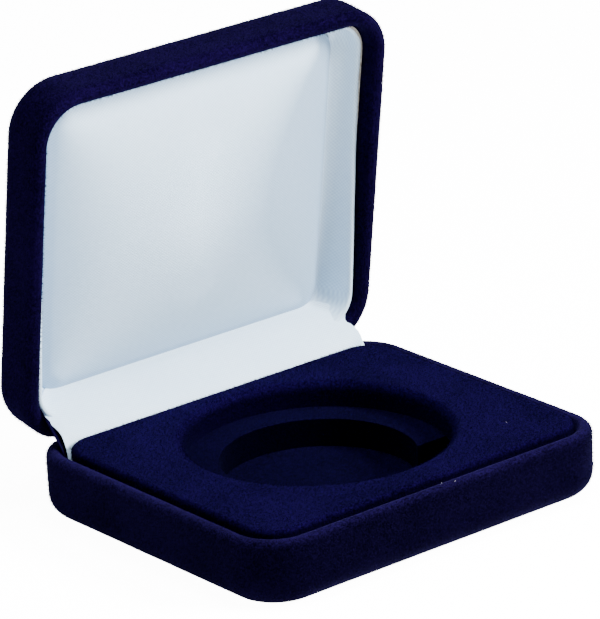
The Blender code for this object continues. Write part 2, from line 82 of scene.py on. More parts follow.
# Shells
PARTING_GAP = 2 * (AXIS_Z - BASE_HEIGHT)
LID_HEIGHT = 10.4 * MM
CORNER_RADIUS = 9.5 * MM
BASE_EDGE_RADIUS = 4.2 * MM
LID_EDGE_RADIUS = 3.5 * MM
VELVET = 0.85 * MM
RIM = 2.9 * MM
TURN_IN = 5.0 * MM
HINGE_RELIEF = 0.83 * MM
VELVET_WAVER = 0.05 * MM
CREST_FACING = 0.72
CREST_BAND = 0.8 * MM
RIM_BAND = 1.6 * MM
THIN_PILE = 0.55

# Insert
INSERT_CORNER_RADIUS = 6.0 * MM
INSERT_SOFT_EDGE = 0.95 * MM
INSERT_LIP = 1.9 * MM
RECESS_RADIUS = 23.3 * MM
LEDGE_RADIUS = 17.4 * MM
RECESS_CENTRE_Y = 0.2 * MM
RELIEF_EDGE_Y = RECESS_CENTRE_Y - 8.9 * MM
LEDGE_SOFT_EDGE = 0.7 * MM

# Lid lining
PAD_BACK = 7.45 * MM
PAD_SIDE_INSET = 7.4 * MM
PAD_HINGE_INSET = 5.5 * MM
PAD_FAR_INSET = 5.3 * MM
PAD_CORNER_RADIUS = 4.6 * MM
PAD_EDGE_RISE = 0.6 * MM
PAD_CROWN = 3.6 * MM
PAD_CELL = 0.8 * MM
SIM_SCALE = 10.0
SIM_FRAMES = 20
SIM_PRESSURE = 4.0
PUFF_LIMIT = 0.4 * MM
SATIN = 0.22 * MM
WALL_INSET = 3.75 * MM
WALL_FOOT_INSET = 7.0 * MM
WALL_ROUND_END = 76
STRIP_HALF_WIDTH = 34.2 * MM
END_FOLD = 0.45 * MM
BACKING_Y = 29.4 * MM
BACKING_FROM_AXIS = 2.65 * MM
BACKING_LEFT_GAP = 0.35 * MM
BACKING_RIGHT_CUT = 1.2 * MM
STRIP_TURN_START = 29.5 * MM
STRIP_STEPS = 96
STRIP_TUCK = 4.5 * MM
TWILL_PITCH = 0.46 * MM
# Painted shade on the pad's slopes: the grey they are toned towards, and how strongly each slope is toned.
PAINTED_SLOPE_SHADE = (0.46, 0.51, 0.57, 1.0)
SLOPE_SHADE_LEFT = 3.4
SLOPE_SHADE_RIGHT = 9.0
SLOPE_SHADE_HINGE = 3.2

# Spring, lint and studio
SPRING_BEND = 2.5 * MM
SPRING_STRIP = 0.3 * MM
LEAF = 0.3 * MM
HAIR_RADIUS = 0.025 * MM
HAIR_SIDES = 5
HAIR_STEPS = 6
HAIR_CURL = 50
FLOOR_GLOW = 14.0
ROOM_LIGHT = 0.12
ROOM_GLOW = 15.0


# Shaping ------------------------------------------------------------------------

def add_object(name, mesh):
    piece = bpy.data.objects.new(name, mesh)
    bpy.context.scene.collection.objects.link(piece)
    return piece


def mesh_piece(name, bm, finish):
    """Turn a bmesh into a smooth-shaded piece at the origin."""
    mesh = bpy.data.meshes.new(name)
    bm.to_mesh(mesh)
    bm.free()
    mesh.shade_smooth()
    mesh.materials.append(finish)
    return add_object(name, mesh)


def piece_from(name, bm, finish, smooth_angle=None):
    """The same for a closed body, with its seams joined and its normals outward."""
    bmesh.ops.remove_doubles(bm, verts=bm.verts, dist=1e-7)
    bmesh.ops.recalc_face_normals(bm, faces=bm.faces)
    piece = mesh_piece(name, bm, finish)
    if smooth_angle is not None:
        piece.data.set_sharp_from_angle(angle=math.radians(smooth_angle))
    return piece


def soften(piece):
    smooth = piece.modifiers.new("smooth", "SUBSURF")
    smooth.levels = smooth.render_levels = 1


def thicken(piece, thickness):
    solid = piece.modifiers.new("thickness", "SOLIDIFY")
    solid.thickness = thickness
    solid.offset = 0.0


def smooth_step(value):
    value = min(max(value, 0.0), 1.0)
    return value * value * (3 - 2 * value)


def outline(x0, x1, y0, y1, radius, corner_steps=20, side_steps=28):
    """A rounded rectangle, counter-clockwise from +X, with points along its sides too."""
    corners = ((x1 - radius, y1 - radius, 0), (x0 + radius, y1 - radius, 90),
               (x0 + radius, y0 + radius, 180), (x1 - radius, y0 + radius, 270))
    points = []
    for number, (cx, cy, start) in enumerate(corners):
        for step in range(corner_steps + 1):
            angle = math.radians(start + 90 * step / corner_steps)
            points.append((cx + radius * math.cos(angle), cy + radius * math.sin(angle)))
        here = points[-1]
        nx, ny, turn = corners[(number + 1) % 4]
        turn = math.radians(turn)
        after = (nx + radius * math.cos(turn), ny + radius * math.sin(turn))
        for step in range(1, side_steps):
            share = step / side_steps
            points.append(tuple(a + (b - a) * share for a, b in zip(here, after)))
    return points


def arc(centre, radius, start, end, steps):
    """Points of an arc in a profile; angles in degrees."""
    turns = [math.radians(start + (end - start) * step / steps) for step in range(steps + 1)]
    return [(centre[0] + radius * math.cos(a), centre[1] + radius * math.sin(a)) for a in turns]


def loft(rings, closed=False, cap_start=False, cap_end=False):
    """A bmesh through rings with the same number of points."""
    bm = bmesh.new()
    rows = [[bm.verts.new(point) for point in ring] for ring in rings]
    pairs = list(zip(rows, rows[1:]))
    if closed:
        pairs.append((rows[-1], rows[0]))
    for low, high in pairs:
        for i in range(len(low)):
            j = (i + 1) % len(low)
            bm.faces.new((low[i], low[j], high[j], high[i]))
    if cap_start:
        bm.faces.new(list(reversed(rows[0])))
    if cap_end:
        bm.faces.new(rows[-1])
    return bm


def lid_place():
    """Matrix from the shut lid's plan, with depth upwards from its rim, to the open lid."""
    shut = Matrix.Translation((0, -AXIS_Y, PARTING_GAP / 2))
    turn = Matrix.Rotation(-OPEN_ANGLE, 4, "X")
    return Matrix.Translation((0, AXIS_Y, AXIS_Z)) @ turn @ shut


LID_PLACE = lid_place()


# Finishes -----------------------------------------------------------------------

def new_finish(name):
    finish = bpy.data.materials.new(name)
    finish.use_nodes = True
    return finish, finish.node_tree, finish.node_tree.nodes["Principled BSDF"]


def set_inputs(tree, node, inputs):
    """Link each socket given, and set each plain value."""
    for key, value in inputs.items():
        if isinstance(value, bpy.types.NodeSocket):
            tree.links.new(value, node.inputs[key])
        else:
            node.inputs[key].default_value = value


def add_node(tree, kind, inputs=None, **settings):
    node = tree.nodes.new(kind)
    for key, value in settings.items():
        setattr(node, key, value)
    set_inputs(tree, node, inputs or {})
    return node


def new_group(name, inputs, outputs):
    """A shader group with named sockets; returns the tree, its input and output nodes."""
    tree = bpy.data.node_groups.new(name, "ShaderNodeTree")
    for label, kind, value in inputs:
        socket = tree.interface.new_socket(label, in_out="INPUT", socket_type=kind)
        if value is not None:
            socket.default_value = value
    for label, kind in outputs:
        tree.interface.new_socket(label, in_out="OUTPUT", socket_type=kind)
    return tree, tree.nodes.new("NodeGroupInput"), tree.nodes.new("NodeGroupOutput")


def use_group(tree, group, inputs):
    return add_node(tree, "ShaderNodeGroup", inputs, node_tree=group)


def math_node(tree, operation, first, second=0.0):
    return add_node(tree, "ShaderNodeMath", {0: first, 1: second}, operation=operation).outputs[0]


def ramp(tree, value, low, high, to_low=0.0, to_high=1.0):
    inputs = {"Value": value, "From Min": low, "From Max": high, "To Min": to_low, "To Max": to_high}
    return add_node(tree, "ShaderNodeMapRange", inputs).outputs["Result"]


def mix_colour(tree, factor, first, second, blend_type="MIX"):
    inputs = {0: factor, 6: first, 7: second}
    return add_node(tree, "ShaderNodeMix", inputs, data_type="RGBA", blend_type=blend_type).outputs[2]


def noise_value(tree, vector, scale, detail=2.0, distortion=0.0):
    inputs = {"Vector": vector, "Scale": scale, "Detail": detail, "Distortion": distortion}
    return add_node(tree, "ShaderNodeTexNoise", inputs).outputs["Fac"]


def object_place(tree):
    return add_node(tree, "ShaderNodeTexCoord").outputs["Object"]


def bump(tree, height, distance, strength):
    inputs = {"Height": height, "Distance": distance, "Strength": strength}
    return add_node(tree, "ShaderNodeBump", inputs).outputs["Normal"]


def pile_group():
    """Pile: fine tufts, brushed patches where the nap leans, and the height of both."""
    tree, given, out = new_group("pile", (
        ("Vector", "NodeSocketVector", None),
        ("Tufts per metre", "NodeSocketFloat", 3600.0),
        ("Brushed patches per metre", "NodeSocketFloat", 90.0),
        ("Brushed share", "NodeSocketFloat", 0.5),
    ), (("Shade", "NodeSocketFloat"), ("Height", "NodeSocketFloat")))
    vector = given.outputs["Vector"]
    tuft_scale = given.outputs["Tufts per metre"]
    tufts = noise_value(tree, vector, tuft_scale)
    clumps = noise_value(tree, vector, math_node(tree, "MULTIPLY", tuft_scale, 0.45), 3.0)
    patches = noise_value(tree, vector, given.outputs["Brushed patches per metre"], 3.0, 0.6)
    grain = math_node(tree, "ADD", math_node(tree, "MULTIPLY", tufts, 0.65),
                      math_node(tree, "MULTIPLY", clumps, 0.35))
    spread = ramp(tree, grain, 0.40, 0.62)
    brushed = ramp(tree, patches, 0.35, 0.65, -0.5, 0.5)
    lean = math_node(tree, "MULTIPLY", brushed, given.outputs["Brushed share"])
    shade = add_node(tree, "ShaderNodeMath", {0: spread, 1: lean}, operation="ADD", use_clamp=True)
    tree.links.new(shade.outputs[0], out.inputs["Shade"])
    tree.links.new(spread, out.inputs["Height"])
    return tree


def twill_group():
    """Fine twill: diagonal ribs, broken up by the crossing threads."""
    tree, given, out = new_group("twill", (
        ("Vector", "NodeSocketVector", None),
        ("Pitch", "NodeSocketFloat", TWILL_PITCH),
    ), (("Threads", "NodeSocketFloat"), ("Height", "NodeSocketFloat")))
    parts = add_node(tree, "ShaderNodeSeparateXYZ", {0: given.outputs["Vector"]})
    turn = math_node(tree, "DIVIDE", 2 * math.pi, given.outputs["Pitch"])
    across = math_node(tree, "ADD", math_node(tree, "MULTIPLY", parts.outputs["X"], 0.62),
                       math_node(tree, "MULTIPLY", parts.outputs["Y"], 0.78))
    along = math_node(tree, "SUBTRACT", math_node(tree, "MULTIPLY", parts.outputs["Y"], 0.90),
                      math_node(tree, "MULTIPLY", parts.outputs["X"], 0.72))
    rib = math_node(tree, "SINE", math_node(tree, "MULTIPLY", across, turn))
    thread = math_node(tree, "SINE", math_node(tree, "MULTIPLY", along, turn))
    both = math_node(tree, "ADD", math_node(tree, "MULTIPLY", rib, 0.26),
                     math_node(tree, "MULTIPLY", thread, 0.20))
    slub = noise_value(tree, given.outputs["Vector"], 900.0)
    uneven = math_node(tree, "ADD", both, math_node(tree, "MULTIPLY", slub, 0.5))
    threads = add_node(tree, "ShaderNodeMath", {0: uneven, 1: 0.25}, operation="ADD", use_clamp=True)
    tree.links.new(threads.outputs[0], out.inputs["Threads"])
    tree.links.new(threads.outputs[0], out.inputs["Height"])
    return tree


PILE = pile_group()
TWILL = twill_group()


def pile_finish(name, deep, light, tufts, patches, brushed, sheen_tint, sheen, sheen_roughness, depth,
                painted_front_shade=1.0, painted_side_shade=1.0):
    """Velvet or flock: lighter on the tufts, darker between them, and darker on fronts and walls as painted
    shade.
    """
    finish, tree, shader = new_finish(name)
    place = object_place(tree)
    pile = use_group(tree, PILE, {"Vector": place, "Tufts per metre": tufts,
                                  "Brushed patches per metre": patches, "Brushed share": brushed})
    facing = add_node(tree, "ShaderNodeTexCoord").outputs["Normal"]
    ways = add_node(tree, "ShaderNodeSeparateXYZ", {0: facing}).outputs
    # Painted shade: fronts, and walls that do not face up, are darkened, standing in for less light falling
    # on them.
    painted_shade_factor = math_node(tree, "MULTIPLY", ramp(tree, ways["Y"], -0.85, -0.25, painted_front_shade, 1.0),
                    ramp(tree, ways["Z"], 0.15, 0.75, painted_side_shade, 1.0))
    tufted = mix_colour(tree, pile.outputs["Shade"], (*deep, 1.0), (*light, 1.0))
    set_inputs(tree, shader, {
        "Base Color": mix_colour(tree, painted_shade_factor, (*deep, 1.0), tufted),
        "Roughness": ramp(tree, pile.outputs["Shade"], 0.0, 1.0, 1.0, 0.86),
        "Normal": bump(tree, pile.outputs["Height"], depth, 0.8), "Specular IOR Level": 0.0,
        "Sheen Weight": sheen, "Sheen Roughness": sheen_roughness, "Sheen Tint": (*sheen_tint, 1.0)})
    return finish


def satin_finish(name, shadow, light, bump_depth):
    """White satin in a fine twill, faintly soiled in soft patches, and greyer on the pad's slopes as painted
    shade.
    """
    finish, tree, shader = new_finish(name)
    cloth = add_node(tree, "ShaderNodeUVMap", uv_map="cloth").outputs["UV"]
    twill = use_group(tree, TWILL, {"Vector": cloth})
    toned = mix_colour(tree, twill.outputs["Threads"], (*shadow, 1.0), (*light, 1.0))
    soil = noise_value(tree, object_place(tree), 55.0, 4.0)
    worn = mix_colour(tree, ramp(tree, soil, 0.45, 0.75, 0.0, 0.35), toned, (*shadow, 1.0))
    # Painted shade: the stored lean value greys the satin on the pad's slopes, standing in for the shading of
    # its facets.
    lean = add_node(tree, "ShaderNodeAttribute", attribute_name="lean").outputs["Fac"]
    slope_shaded = mix_colour(tree, lean, worn, mix_colour(tree, 1.0, worn, PAINTED_SLOPE_SHADE, "MULTIPLY"))
    set_inputs(tree, shader, {
        "Base Color": slope_shaded, "Roughness": ramp(tree, twill.outputs["Threads"], 0.0, 1.0, 0.62, 0.46),
        "Normal": bump(tree, twill.outputs["Height"], bump_depth, 0.7),
        "Specular IOR Level": 0.35, "Sheen Weight": 0.15, "Sheen Roughness": 0.35})
    return finish


def metal_finish(name, colour, dull, roughness, grain_stretch):
    """Bare sheet steel: rolling grain, fine pits and dull patches."""
    finish, tree, shader = new_finish(name)
    place = object_place(tree)
    stretched = add_node(tree, "ShaderNodeMapping", {"Vector": place, "Scale": grain_stretch})
    grain = noise_value(tree, stretched.outputs["Vector"], 2600.0, 3.0)
    patches = noise_value(tree, place, 160.0, 4.0)
    rough = math_node(tree, "ADD", ramp(tree, grain, 0.3, 0.7, roughness - 0.08, roughness + 0.08),
                      ramp(tree, patches, 0.4, 0.7, 0.0, 0.15))
    set_inputs(tree, shader, {
        "Base Color": mix_colour(tree, ramp(tree, patches, 0.4, 0.7), (*colour, 1.0), (*dull, 1.0)),
        "Roughness": rough, "Normal": bump(tree, grain, 0.01 * MM, 0.4), "Metallic": 1.0})
    return finish


def card_finish(name):
    """Grey board: short fibres and flecks."""
    finish, tree, shader = new_finish(name)
    place = object_place(tree)
    fibres = noise_value(tree, place, 1500.0, 5.0, 1.2)
    flecks = add_node(tree, "ShaderNodeTexVoronoi", {"Vector": place, "Scale": 700.0}).outputs["Distance"]
    toned = mix_colour(tree, ramp(tree, fibres, 0.35, 0.65), (0.30, 0.28, 0.25, 1.0), (0.52, 0.50, 0.46, 1.0))
    flecked = mix_colour(tree, ramp(tree, flecks, 0.05, 0.2, 0.6, 0.0), toned, (0.18, 0.16, 0.14, 1.0))
    set_inputs(tree, shader, {"Base Color": flecked, "Roughness": ramp(tree, fibres, 0.3, 0.7, 0.95, 0.8),
                              "Normal": bump(tree, fibres, 0.03 * MM, 0.6)})
    return finish


def lint_finish():
    finish, tree, shader = new_finish("white_lint")
    shade = noise_value(tree, object_place(tree), 1200.0)
    pale = mix_colour(tree, shade, (0.5, 0.5, 0.56, 1.0), (0.8, 0.8, 0.86, 1.0))
    set_inputs(tree, shader, {"Base Color": pale, "Roughness": 0.9})
    return finish


NAVY_VELVET = pile_finish(
    "navy_velvet", (0.0002, 0.0001, 0.0015), (0.0040, 0.0010, 0.0210), 5200.0, 70.0, 0.22,
    (0.30, 0.25, 1.0), 0.05, 0.35, 0.05 * MM)
# Painted light and shade: the base's velvet, lighter than the lid's on its tops and darkened on its front and
# walls, standing in for how light falls on the base.
BASE_VELVET_PAINTED_LIGHT_AND_SHADE = pile_finish(
    "navy_velvet_base_painted_light_and_shade", (0.0002, 0.0001, 0.0012), (0.0074, 0.0032, 0.0340), 5200.0, 70.0, 0.22,
    (0.30, 0.25, 1.0), 0.05, 0.35, 0.05 * MM, 0.55, 0.50)
# Painted shade: the flock is darkened on the block's walls and the hole's sides, standing in for the shade
# there.
NAVY_FLOCK = pile_finish(
    "navy_flock", (0.0002, 0.0001, 0.0016), (0.0040, 0.0009, 0.0265), 5000.0, 60.0, 0.22,
    (0.25, 0.25, 1.0), 0.02, 0.35, 0.08 * MM, 1.0, 0.30)
# Painted shade: a darker copy of the flock for the ledge and the recess board, standing in for the shade in
# the recess.
SHADED_RECESS_FLOCK = pile_finish(
    "navy_flock_painted_shade", (0.0001, 0.0001, 0.0008), (0.0017, 0.0005, 0.0110), 4600.0, 60.0, 0.22,
    (0.25, 0.25, 1.0), 0.02, 0.35, 0.07 * MM, 1.0, 0.25)
WHITE_SATIN = satin_finish("white_satin", (0.49, 0.66, 0.84), (0.67, 0.85, 0.99), 0.028 * MM)
SHEET_STEEL = metal_finish("sheet_steel", (0.55, 0.55, 0.56), (0.40, 0.39, 0.38), 0.38, (1.0, 0.08, 1.0))
SPRING_STEEL = metal_finish("spring_steel", (0.34, 0.36, 0.41), (0.24, 0.25, 0.30), 0.28, (0.08, 1.0, 1.0))
GREY_CARD = card_finish("grey_card")
WHITE_LINT = lint_finish()


# Velvet covers ------------------------------------------------------------------

def hinge_dip(x, y, z, height):
    """How far the back rim is lowered so that the two shells clear each other."""
    if y < HALF_DEPTH - CORNER_RADIUS:
        return 0.0
    turn = math.degrees(math.atan2(abs(x) - (HALF_WIDTH - CORNER_RADIUS), y - (HALF_DEPTH - CORNER_RADIUS)))
    return HINGE_RELIEF * smooth_step(1 - turn / 30) * smooth_step((z / height - 0.45) / 0.4)


def cover_ring(inset, z, height, waver):
    """One ring of a cover at that inset and height, with the cloth's slight waver."""
    ring = []
    points = outline(-HALF_WIDTH + inset, HALF_WIDTH - inset, -HALF_DEPTH + inset, HALF_DEPTH - inset,
                     CORNER_RADIUS - inset)
    for x, y in points:
        place = Vector((x, y, z))
        away = waver * noise.noise(place * 160)
        push = Vector((x, y, 0)).normalized() * away
        ring.append((x + push.x, y + push.y, z - hinge_dip(x, y, z, height)))
    return ring


def cover_profile(height, edge):
    """The cover's section from the closed face's edge, up, over the rim and back inside."""
    half = RIM / 2
    outer = arc((edge, edge), edge, 270, 180, 12)
    side = [(0.0, edge + (height - half - edge) * step / 6) for step in range(1, 6)]
    rim = arc((half, height - half), half, 180, 0, 18)
    turned = [(RIM, height - half - (TURN_IN - half) * step / 4) for step in range(1, 5)]
    raw_edge = [(RIM - VELVET / 2, height - TURN_IN - 0.1 * MM), (RIM - VELVET, height - TURN_IN)]
    inner = arc((half, height - half), half - VELVET, 0, 180, 10)
    lining = arc((edge, edge), edge - VELVET, 180, 270, 6)
    return outer, side + rim, turned + raw_edge + inner + lining


def velvet_cover(name, height, edge, finish, place=None):
    outer, shown, hidden = cover_profile(height, edge)
    bottom = [(edge + (HALF_DEPTH - edge) * share, 0.0) for share in (0.75, 0.5, 0.25)]
    rings = []
    for inset, z in bottom:
        share = (inset - edge) / (HALF_DEPTH - edge)
        border = cover_ring(edge, 0.0, height, 0.0)
        rings.append([(x * (1 - share), y * (1 - share), z) for x, y, _ in border])
    rings += [cover_ring(inset, z, height, 0.0) for inset, z in outer[:1]]
    rings += [cover_ring(inset, z, height, VELVET_WAVER) for inset, z in outer[1:] + shown]
    rings += [cover_ring(inset, z, height, 0.0) for inset, z in hidden]
    bm = loft(rings, cap_start=True, cap_end=True)
    if place is not None:
        bmesh.ops.transform(bm, matrix=place, verts=bm.verts)
    return piece_from(name, bm, finish)


LID_TURNED = LID_PLACE @ Matrix.Translation((0, 0, LID_HEIGHT)) @ Matrix.Diagonal((1, 1, -1, 1))
base_cover = velvet_cover("base_velvet_cover", BASE_HEIGHT, BASE_EDGE_RADIUS, BASE_VELVET_PAINTED_LIGHT_AND_SHADE)
lid_cover = velvet_cover("lid_velvet_cover", LID_HEIGHT, LID_EDGE_RADIUS, NAVY_VELVET, LID_TURNED)


# Insert -------------------------------------------------------------------------

def ray_to_outline(angle, limits, radius, centre_y):
    """Where a ray from the recess centre meets a rounded rectangle."""
    x0, x1, y0, y1 = limits
    way = Vector((math.cos(angle), math.sin(angle)))
    low, high = 0.0, 2 * HALF_WIDTH
    for _ in range(40):
        middle = (low + high) / 2
        x = way.x * middle
        y = centre_y + way.y * middle
        dx = max(abs(x - (x0 + x1) / 2) - ((x1 - x0) / 2 - radius), 0.0)
        dy = max(abs(y - (y0 + y1) / 2) - ((y1 - y0) / 2 - radius), 0.0)
        if math.hypot(dx, dy) < radius:
            low = middle
        else:
            high = middle
    return way.x * low, centre_y + way.y * low


def insert_block():
    """Upper block: round hole with a rolled lip, soft outer edge, slightly uneven top."""
    steps = 300
    x0, y0 = INSERT_LOW.x, INSERT_LOW.y
    x1, y1 = INSERT_HIGH.x, INSERT_HIGH.y
    top, low = INSERT_HIGH.z, INSERT_LOW.z
    turns = [2 * math.pi * step / steps for step in range(steps)]

    def hole_ring(radius, z):
        return [(radius * math.cos(a), RECESS_CENTRE_Y + radius * math.sin(a), z) for a in turns]

    def side_ring(inset, z):
        limits = (x0 + inset, x1 - inset, y0 + inset, y1 - inset)
        points = [ray_to_outline(a, limits, INSERT_CORNER_RADIUS - inset, RECESS_CENTRE_Y) for a in turns]
        return [(x, y, z) for x, y in points]

    rings = [hole_ring(RECESS_RADIUS, low), hole_ring(RECESS_RADIUS, (low + top - INSERT_LIP) / 2)]
    lip = arc((RECESS_RADIUS + INSERT_LIP, top - INSERT_LIP), INSERT_LIP, 180, 90, 10)
    rings += [hole_ring(radius, z) for radius, z in lip]
    inside = rings[-1]
    edge = arc((INSERT_SOFT_EDGE, top - INSERT_SOFT_EDGE), INSERT_SOFT_EDGE, 90, 180, 8)
    outside = [side_ring(inset, z) for inset, z in edge]
    for share in (0.12, 0.25, 0.4, 0.55, 0.7, 0.82, 0.92):
        ring = []
        for a, b in zip(inside, outside[0]):
            x = a[0] + (b[0] - a[0]) * share
            y = a[1] + (b[1] - a[1]) * share
            rise = 0.10 * MM * noise.noise(Vector((x, y, 0)) * 95) + 0.06 * MM * math.sin(math.pi * share)
            ring.append((x, y, top - 0.08 * MM + rise))
        rings.append(ring)
    rings += outside
    rings += [side_ring(0.0, (top + low) / 2), side_ring(0.0, low)]
    return piece_from("flocked_block", loft(rings, closed=True), NAVY_FLOCK, 50)


def stepped_hole():
    """The ledge's hole: a circle, opened at the front by the straight finger relief."""
    edge = RELIEF_EDGE_Y - RECESS_CENTRE_Y
    inner = math.degrees(math.asin(edge / LEDGE_RADIUS))
    outer = math.degrees(math.asin(edge / (RECESS_RADIUS + LEDGE_SOFT_EDGE)))
    points = arc((0.0, RECESS_CENTRE_Y), LEDGE_RADIUS, inner, 180 - inner, 96)
    points += arc((0.0, RECESS_CENTRE_Y), RECESS_RADIUS + LEDGE_SOFT_EDGE, 180 - outer, 360 + outer, 64)
    return points


def soft_edges(piece, width, segments):
    bevel = piece.modifiers.new("soft_edges", "BEVEL")
    bevel.width = width
    bevel.segments = segments
    bevel.limit_method = "ANGLE"
    bevel.angle_limit = math.radians(60)
    bevel.use_clamp_overlap = True


def ledge_block():
    """Lower block: the ledge round the smaller hole."""
    bm = bmesh.new()
    x0, y0 = LEDGE_LOW.x, LEDGE_LOW.y
    x1, y1 = LEDGE_HIGH.x, LEDGE_HIGH.y
    outer = outline(x0, x1, y0, y1, INSERT_CORNER_RADIUS, 10, 3)
    walls = []
    for points in (outer, stepped_hole()):
        walls.append([[bm.verts.new((x, y, z)) for x, y in points] for z in (LEDGE_LOW.z, LEDGE_HIGH.z)])
    for low, high in walls:
        for i in range(len(low)):
            j = (i + 1) % len(low)
            bm.faces.new((low[i], low[j], high[j], high[i]))
    for level in (0, 1):
        edges = []
        for wall in walls:
            ring = wall[level]
            edges += [bm.edges.get((ring[i], ring[(i + 1) % len(ring)])) for i in range(len(ring))]
        bmesh.ops.triangle_fill(bm, edges=edges, use_beauty=True, use_dissolve=False)
    piece = piece_from("flocked_ledge", bm, SHADED_RECESS_FLOCK, 40)
    soft_edges(piece, LEDGE_SOFT_EDGE, 3)
    return piece


def floor_board():
    """Flocked board at the bottom of the recess."""
    points = outline(FLOOR_LOW.x, FLOOR_HIGH.x, FLOOR_LOW.y, FLOOR_HIGH.y, INSERT_CORNER_RADIUS, 10, 6)
    rings = [[(x, y, z) for x, y in points] for z in (FLOOR_LOW.z, FLOOR_HIGH.z)]
    for share in (0.8, 0.6, 0.4, 0.2):
        ring = []
        for x, y in points:
            rise = 0.05 * MM * noise.noise(Vector((x * share, y * share, 0)) * 120)
            ring.append((x * share, y * share, FLOOR_HIGH.z + rise))
        rings.append(ring)
    return piece_from("recess_board", loft(rings, cap_start=True, cap_end=True), SHADED_RECESS_FLOCK, 40)


flocked_block = insert_block()
flocked_ledge = ledge_block()
recess_board = floor_board()


# Pile fibres --------------------------------------------------------------------

def fibre_tree():
    """Short leaning fibres scattered where the ground's pile value is above nothing."""
    tree = bpy.data.node_groups.new("fibres", "GeometryNodeTree")
    for label, kind, value in (
        ("Ground", "NodeSocketGeometry", None), ("Fibres per square metre", "NodeSocketFloat", 6e6),
        ("Length", "NodeSocketFloat", 0.4 * MM), ("Thickness", "NodeSocketFloat", 0.04 * MM),
        ("Lean", "NodeSocketFloat", 0.6), ("Seed", "NodeSocketInt", 1),
        ("Finish", "NodeSocketMaterial", None),
    ):
        socket = tree.interface.new_socket(label, in_out="INPUT", socket_type=kind)
        if value is not None:
            socket.default_value = value
    tree.interface.new_socket("Fibres", in_out="OUTPUT", socket_type="NodeSocketGeometry")
    given = tree.nodes.new("NodeGroupInput").outputs
    out = tree.nodes.new("NodeGroupOutput")
    pile = add_node(tree, "GeometryNodeInputNamedAttribute", {"Name": "pile"}, data_type="FLOAT")
    density = math_node(tree, "MULTIPLY", pile.outputs["Attribute"], given["Fibres per square metre"])
    points = add_node(tree, "GeometryNodeDistributePointsOnFaces",
                      {"Mesh": given["Ground"], "Density": density, "Seed": given["Seed"]})
    fibre = add_node(tree, "GeometryNodeMeshCone", {
        "Vertices": 3, "Radius Top": 0.0, "Radius Bottom": given["Thickness"], "Depth": given["Length"]})
    tilt = add_node(tree, "FunctionNodeRandomValue", {"Seed": given["Seed"]}, data_type="FLOAT_VECTOR")
    vectors = [socket for socket in tilt.inputs if socket.type == "VECTOR"]
    vectors[0].default_value = (-1.0, -1.0, -math.pi)
    vectors[1].default_value = (1.0, 1.0, math.pi)
    lean = add_node(tree, "ShaderNodeCombineXYZ",
                    {"X": given["Lean"], "Y": given["Lean"], "Z": 1.0}).outputs["Vector"]
    leaning = add_node(tree, "ShaderNodeVectorMath", {0: tilt.outputs["Value"], 1: lean},
                       operation="MULTIPLY").outputs["Vector"]
    turned = add_node(tree, "FunctionNodeEulerToRotation", {"Euler": leaning}).outputs["Rotation"]
    rotation = add_node(tree, "FunctionNodeRotateRotation",
                        {"Rotation": points.outputs["Rotation"], "Rotate By": turned}, rotation_space="LOCAL")
    size = add_node(tree, "FunctionNodeRandomValue", {"Seed": given["Seed"]}, data_type="FLOAT")
    floats = [socket for socket in size.inputs if socket.type == "VALUE" and socket.enabled]
    floats[0].default_value = 0.55
    floats[1].default_value = 1.15
    size_out = [socket for socket in size.outputs if socket.type == "VALUE" and socket.enabled][0]
    placed = add_node(tree, "GeometryNodeInstanceOnPoints", {
        "Points": points.outputs["Points"], "Instance": fibre.outputs["Mesh"],
        "Rotation": rotation.outputs["Rotation"], "Scale": size_out})
    real = add_node(tree, "GeometryNodeRealizeInstances", {"Geometry": placed.outputs["Instances"]})
    dressed = add_node(tree, "GeometryNodeSetMaterial",
                       {"Geometry": real.outputs["Geometry"], "Material": given["Finish"]})
    tree.links.new(dressed.outputs["Geometry"], out.inputs["Fibres"])
    return tree


FIBRES = fibre_tree()


def input_key(tree, label):
    """The identifier of a tree's named input."""
    return next(item.identifier for item in tree.interface.items_tree
                if item.name == label and item.in_out == "INPUT")


def grow_fibres(name, ground, where, values):
    """A mesh of fibres on a piece; where gives the share of pile at a point and normal."""
    dg = bpy.context.evaluated_depsgraph_get()
    mesh = bpy.data.meshes.new_from_object(ground.evaluated_get(dg), depsgraph=dg)
    source = add_object(name + "_ground", mesh)
    pile = mesh.attributes.new("pile", "FLOAT", "POINT")
    shares = [where(vertex.co, vertex.normal) for vertex in mesh.vertices]
    pile.data.foreach_set("value", shares)
    modifier = source.modifiers.new("fibres", "NODES")
    modifier.node_group = FIBRES
    for label, value in values.items():
        modifier[input_key(FIBRES, label)] = value
    dg = bpy.context.evaluated_depsgraph_get()
    grown = bpy.data.meshes.new_from_object(source.evaluated_get(dg), depsgraph=dg)
    grown.name = name
    bpy.data.objects.remove(source)
    return add_object(name, grown)


def base_pile(place, normal):
    """Thickest beside the rim's crest; none inside, underneath or where the lid closes."""
    on_crest = normal.z > CREST_FACING and place.z > BASE_HEIGHT - CREST_BAND
    if place.z < 0.6 * MM or normal.z < -0.5 or on_crest:
        return 0.0
    inside = max(abs(place.x) - (HALF_WIDTH - RIM), abs(place.y) - (HALF_DEPTH - RIM))
    if inside < 0.02 * MM and place.z < BASE_HEIGHT - 1.5 * MM:
        return 0.0
    return 1.0 if place.z > BASE_HEIGHT - RIM_BAND else THIN_PILE


